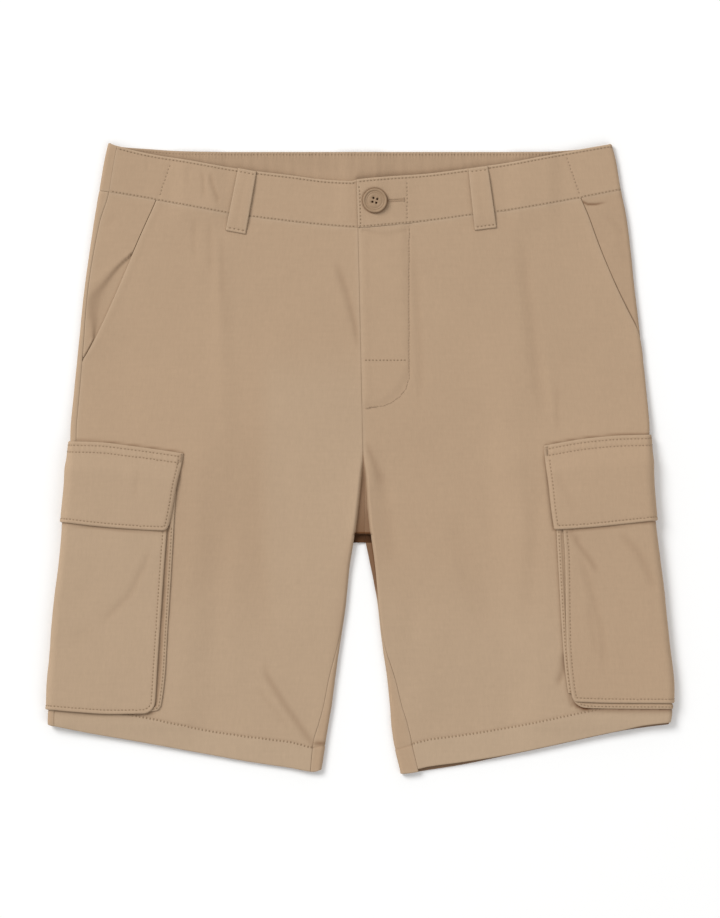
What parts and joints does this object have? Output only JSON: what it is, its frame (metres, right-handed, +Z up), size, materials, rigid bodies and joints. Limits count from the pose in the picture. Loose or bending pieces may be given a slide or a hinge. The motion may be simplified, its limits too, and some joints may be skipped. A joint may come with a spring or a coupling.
{
  "type": "cargo shorts",
  "caption": "Cargo shorts in tan cotton twill, laid flat and face up, with flapped side pockets, slant hip pockets, belt loops and a buttoned waistband with an elastic back.",
  "frame": {"origin": "on the surface that the shorts lie on, under the middle of their outline", "axes": "+X towards the wearer's left, +Y up the garment towards the waistband, +Z up from the surface"},
  "size_m": [0.5349, 0.5364, 0.015],
  "materials": {
    "twill": "matte cotton twill",
    "button": "satin"
  },
  "bodies": {
    "root": {"back_leg_right": "twill", "front_leg_right": "twill", "hip_facing_right": "twill", "waistband_front_right": "twill", "belt_loop_right": "twill", "cargo_pocket_right": "twill", "cargo_gusset_right": "twill", "cargo_flap_right": "twill", "back_leg_left": "twill", "front_leg_left": "twill", "hip_facing_left": "twill", "waistband_front_left": "twill", "belt_loop_left": "twill", "cargo_pocket_left": "twill", "cargo_gusset_left": "twill", "cargo_flap_left": "twill", "waistband_back": "twill", "belt_loop_back_right": "twill", "belt_loop_back_centre": "twill", "belt_loop_back_left": "twill", "button": "button"}
  },
  "joints": []
}
